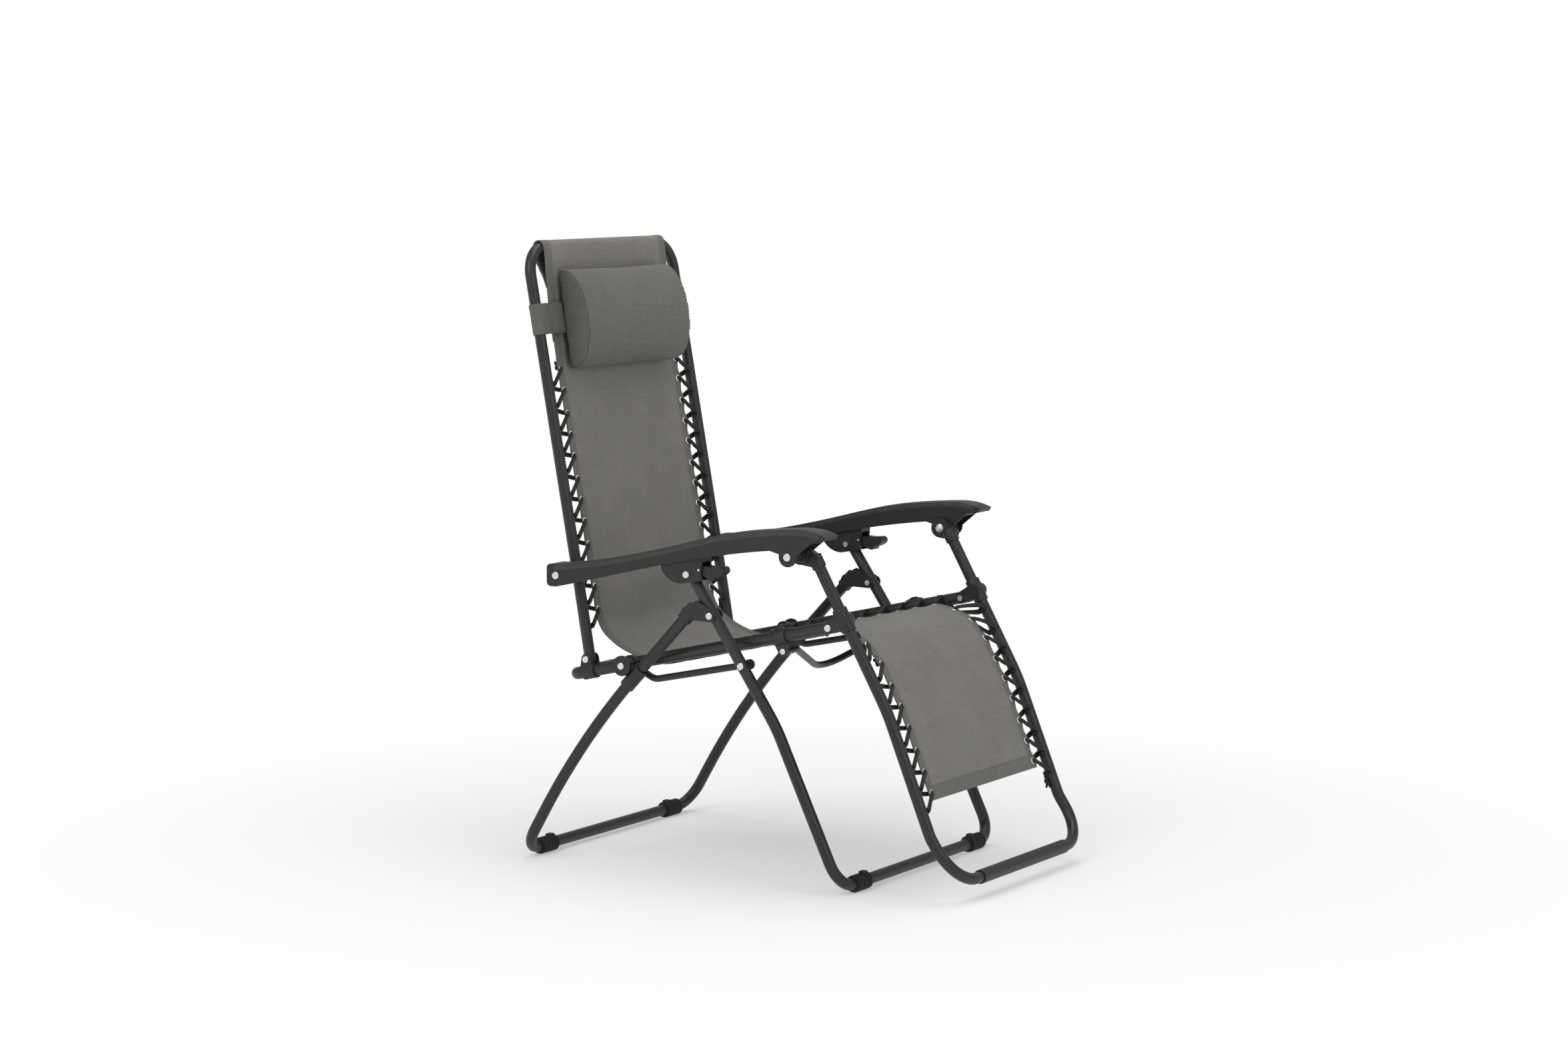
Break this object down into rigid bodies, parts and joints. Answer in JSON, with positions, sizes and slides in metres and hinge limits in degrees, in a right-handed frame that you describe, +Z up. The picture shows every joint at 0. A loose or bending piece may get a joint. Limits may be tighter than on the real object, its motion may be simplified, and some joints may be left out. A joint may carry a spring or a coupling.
{
  "type": "zero gravity recliner",
  "caption": "Folding zero gravity recliner: steel tube frame, laced mesh sling, head pillow, moulded armrests with levers that lock the recline.",
  "frame": {"origin": "centre of the chair's footprint box, on the floor", "axes": "+X to the sitter's feet, +Y to the sitter's left, +Z up"},
  "size_m": [0.9027, 0.602, 1.106],
  "materials": {
    "frame_steel": "satin powder coat",
    "bolts": "bright zinc plate",
    "black_plastic": "fine moulded grain",
    "feet_rubber": "matte",
    "sling_fabric": "open mesh weave",
    "pillow_fabric": "mesh weave",
    "eyelet_metal": "bright",
    "cord": "braided elastic",
    "strap": "woven elastic"
  },
  "bodies": {
    "rear_leg": {"rear_leg_frame": "frame_steel", "rear_feet": "feet_rubber", "rear_leg_clevises": "black_plastic", "leg_pivot_bolts": "bolts", "leg_pivot_nuts": "bolts"},
    "front_leg": {"front_leg_frame": "frame_steel", "front_feet": "feet_rubber", "link_bolts": "bolts"},
    "shoe_pivot": {"bracket_bolts": "bolts", "bracket_nuts": "bolts"},
    "shoes": {"armrest_brackets": "black_plastic", "lever_pins": "bolts"},
    "lever_right": {"lock_lever_right": "black_plastic"},
    "lever_left": {"lock_lever_left": "black_plastic"},
    "slider": {"slider_brackets": "black_plastic"},
    "link": {"link_bars": "frame_steel", "link_bushes": "bolts", "link_nuts": "bolts", "link_washers": "black_plastic"},
    "seat_pivot": {"seat_pivot_bolts": "bolts", "seat_pivot_nuts": "bolts"},
    "seat": {"seat_frame": "frame_steel", "seat_rail_caps": "black_plastic", "spreader_ears": "black_plastic", "spreader_bar": "frame_steel", "spreader_screws": "bolts", "back_clevises": "black_plastic", "sling_seat": "sling_fabric", "seat_eyelets": "eyelet_metal", "seat_cords": "cord"},
    "back_pivot": {"back_pivot_bolts": "bolts", "back_pivot_nuts": "bolts"},
    "back": {"back_frame": "frame_steel", "sling_back": "sling_fabric", "back_eyelets": "eyelet_metal", "back_cords": "cord", "arm_rear_washers": "black_plastic"},
    "pillow": {"pillow": "pillow_fabric", "pillow_straps": "strap"},
    "arm_pivot": {"arm_rear_bolts": "bolts", "arm_rear_nuts": "bolts"},
    "armrests": {"armrest_left": "black_plastic", "armrest_right": "black_plastic", "arm_front_bolts": "bolts"},
    "knee_pivot": {"knee_bolts": "bolts", "knee_nuts": "bolts"},
    "legrest": {"legrest_frame": "frame_steel", "footbar_cover": "black_plastic", "knee_brackets": "black_plastic", "legrest_caps": "black_plastic", "sling_legrest": "sling_fabric", "legrest_eyelets": "eyelet_metal", "legrest_cords": "cord"}
  },
  "joints": [
    {"name": "leg_fold", "type": "hinge", "parent": "rear_leg", "child": "front_leg", "pos_m": [-0.0217, 0, 0.4682], "axis": [0, 1, 0], "range_deg": [0, 66]},
    {"name": "slider_travel", "type": "hinge", "parent": "rear_leg", "child": "slider", "pos_m": [0.86579, 0, -0.65111], "axis": [0, -1, 0], "range_deg": [0, 5.16]},
    {"name": "link_swing", "type": "hinge", "parent": "slider", "child": "link", "pos_m": [-0.204, 0, 0.3675], "axis": [0, -1, 0], "range_deg": [0, 17.83]},
    {"name": "seat_lift", "type": "hinge", "parent": "slider", "child": "seat_pivot", "pos_m": [-0.204, 0, 0.3675], "axis": [0, -1, 0], "range_deg": [0, 18.51]},
    {"name": "seat_tilt", "type": "hinge", "parent": "seat_pivot", "child": "seat", "pos_m": [-0.204, 0, 0.3675], "axis": [0, -1, 0], "range_deg": [0, 14.62]},
    {"name": "back_fold", "type": "hinge", "parent": "seat", "child": "back_pivot", "pos_m": [-0.308, 0, 0.366], "axis": [0, -1, 0], "range_deg": [-78.02, 0]},
    {"name": "back_recline", "type": "hinge", "parent": "back_pivot", "child": "back", "pos_m": [-0.308, 0, 0.366], "axis": [0, -1, 0], "range_deg": [0, 30]},
    {"name": "knee_fold", "type": "hinge", "parent": "seat", "child": "knee_pivot", "pos_m": [0.194, 0, 0.458], "axis": [0, -1, 0], "range_deg": [-80.39, 0]},
    {"name": "legrest_lift", "type": "hinge", "parent": "knee_pivot", "child": "legrest", "pos_m": [0.194, 0, 0.458], "axis": [0, -1, 0], "range_deg": [0, 40.6]},
    {"name": "arm_fold", "type": "hinge", "parent": "back", "child": "arm_pivot", "pos_m": [-0.337, 0, 0.52], "axis": [0, -1, 0], "range_deg": [0, 83.45]},
    {"name": "arm_swing", "type": "hinge", "parent": "arm_pivot", "child": "armrests", "pos_m": [-0.337, 0, 0.52], "axis": [0, -1, 0], "range_deg": [-33.45, 0]},
    {"name": "shoe_fold", "type": "hinge", "parent": "front_leg", "child": "shoe_pivot", "pos_m": [-0.0673, 0, 0.5377], "axis": [0, -1, 0], "range_deg": [0, 95.07]},
    {"name": "shoe_swing", "type": "hinge", "parent": "shoe_pivot", "child": "shoes", "pos_m": [-0.0673, 0, 0.5377], "axis": [0, -1, 0], "range_deg": [0, 11.18]},
    {"name": "lever_right_lift", "type": "hinge", "parent": "shoes", "child": "lever_right", "pos_m": [-0.04226, 0, 0.54692], "axis": [0, -1, 0], "range_deg": [0, 28]},
    {"name": "lever_left_lift", "type": "hinge", "parent": "shoes", "child": "lever_left", "pos_m": [-0.04226, 0, 0.54692], "axis": [0, -1, 0], "range_deg": [0, 28]},
    {"name": "pillow_slide", "type": "slide", "parent": "back", "child": "pillow", "axis": [0.1805, 0, -0.9836], "range_m": [0, 0.048]}
  ],
  "couplings": [
    {"joint": "slider_travel", "follows": "leg_fold", "ratio": 0.077804},
    {"joint": "link_swing", "follows": "leg_fold", "ratio": 0.26986},
    {"joint": "seat_lift", "follows": "leg_fold", "ratio": 0.28009},
    {"joint": "seat_tilt", "follows": "back_recline", "ratio": 0.48652},
    {"joint": "back_fold", "follows": "leg_fold", "ratio": -1.1818},
    {"joint": "knee_fold", "follows": "leg_fold", "ratio": -1.2178},
    {"joint": "legrest_lift", "follows": "back_recline", "ratio": 1.3528},
    {"joint": "arm_fold", "follows": "leg_fold", "ratio": 1.264},
    {"joint": "arm_swing", "follows": "back_recline", "ratio": -1.1144},
    {"joint": "shoe_fold", "follows": "leg_fold", "ratio": 1.4401},
    {"joint": "shoe_swing", "follows": "back_recline", "ratio": 0.37208}
  ]
}
